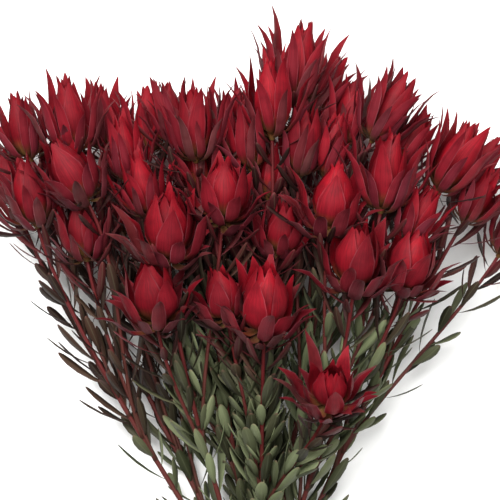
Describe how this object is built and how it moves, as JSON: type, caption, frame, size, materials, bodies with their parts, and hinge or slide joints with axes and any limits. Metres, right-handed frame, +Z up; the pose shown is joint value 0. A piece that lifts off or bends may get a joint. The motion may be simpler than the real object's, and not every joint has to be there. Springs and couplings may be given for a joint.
{
  "type": "bunch of leucadendron",
  "caption": "Tied bunch of leucadendron lying on a surface: leafy branched stems ending in red egg-shaped heads of pointed bracts, held by a plain band near the cut ends.",
  "frame": {"origin": "centre of the flat underside of the band, on the surface the bunch lies on", "axes": "+Z up, +Y from the cut ends to the flower heads"},
  "size_m": [0.5917, 0.6963, 0.2158],
  "materials": {
    "bloom": "Smooth, faintly waxy red bracts, darker and purplish on the outer ones",
    "stem": "Crimson to brown bark with matt grey-green leaves",
    "tie": "Plain natural rubber band, matt"
  },
  "bodies": {
    "root": {"bloom_low_centre_1": "bloom", "bloom_low_centre_2": "bloom", "bloom_low_centre_3": "bloom", "bloom_low_left_1": "bloom", "bloom_low_left_2": "bloom", "bloom_low_left_3": "bloom", "bloom_low_left_4": "bloom", "bloom_low_right_1": "bloom", "bloom_low_right_2": "bloom", "bloom_low_right_3": "bloom", "bloom_low_right_4": "bloom", "bloom_low_right_5": "bloom", "bloom_middle_far_left_1": "bloom", "bloom_middle_far_left_2": "bloom", "bloom_middle_far_left_3": "bloom", "bloom_middle_far_left_4": "bloom", "bloom_middle_far_left_5": "bloom", "bloom_middle_far_right_1": "bloom", "bloom_middle_far_right_2": "bloom", "bloom_middle_far_right_3": "bloom", "bloom_middle_far_right_4": "bloom", "bloom_middle_far_right_5": "bloom", "bloom_middle_far_right_6": "bloom", "bloom_middle_left_1": "bloom", "bloom_middle_left_2": "bloom", "bloom_middle_left_3": "bloom", "bloom_middle_left_4": "bloom", "bloom_middle_left_5": "bloom", "bloom_middle_right_1": "bloom", "bloom_middle_right_2": "bloom", "bloom_middle_right_3": "bloom", "bloom_middle_right_4": "bloom", "bloom_middle_right_5": "bloom", "bloom_top_centre_1": "bloom", "bloom_top_centre_2": "bloom", "bloom_top_centre_3": "bloom", "bloom_top_centre_4": "bloom", "bloom_top_left_1": "bloom", "bloom_top_left_2": "bloom", "bloom_top_left_3": "bloom", "bloom_top_left_4": "bloom", "bloom_top_right_1": "bloom", "bloom_top_right_2": "bloom", "bloom_top_right_3": "bloom", "bloom_top_right_4": "bloom", "bloom_top_right_5": "bloom", "stem_low_centre": "stem", "stem_low_left": "stem", "stem_low_right": "stem", "stem_middle_far_left": "stem", "stem_middle_far_right": "stem", "stem_middle_left": "stem", "stem_middle_right": "stem", "stem_top_centre": "stem", "stem_top_left": "stem", "stem_top_right": "stem", "tie": "tie"}
  },
  "joints": []
}
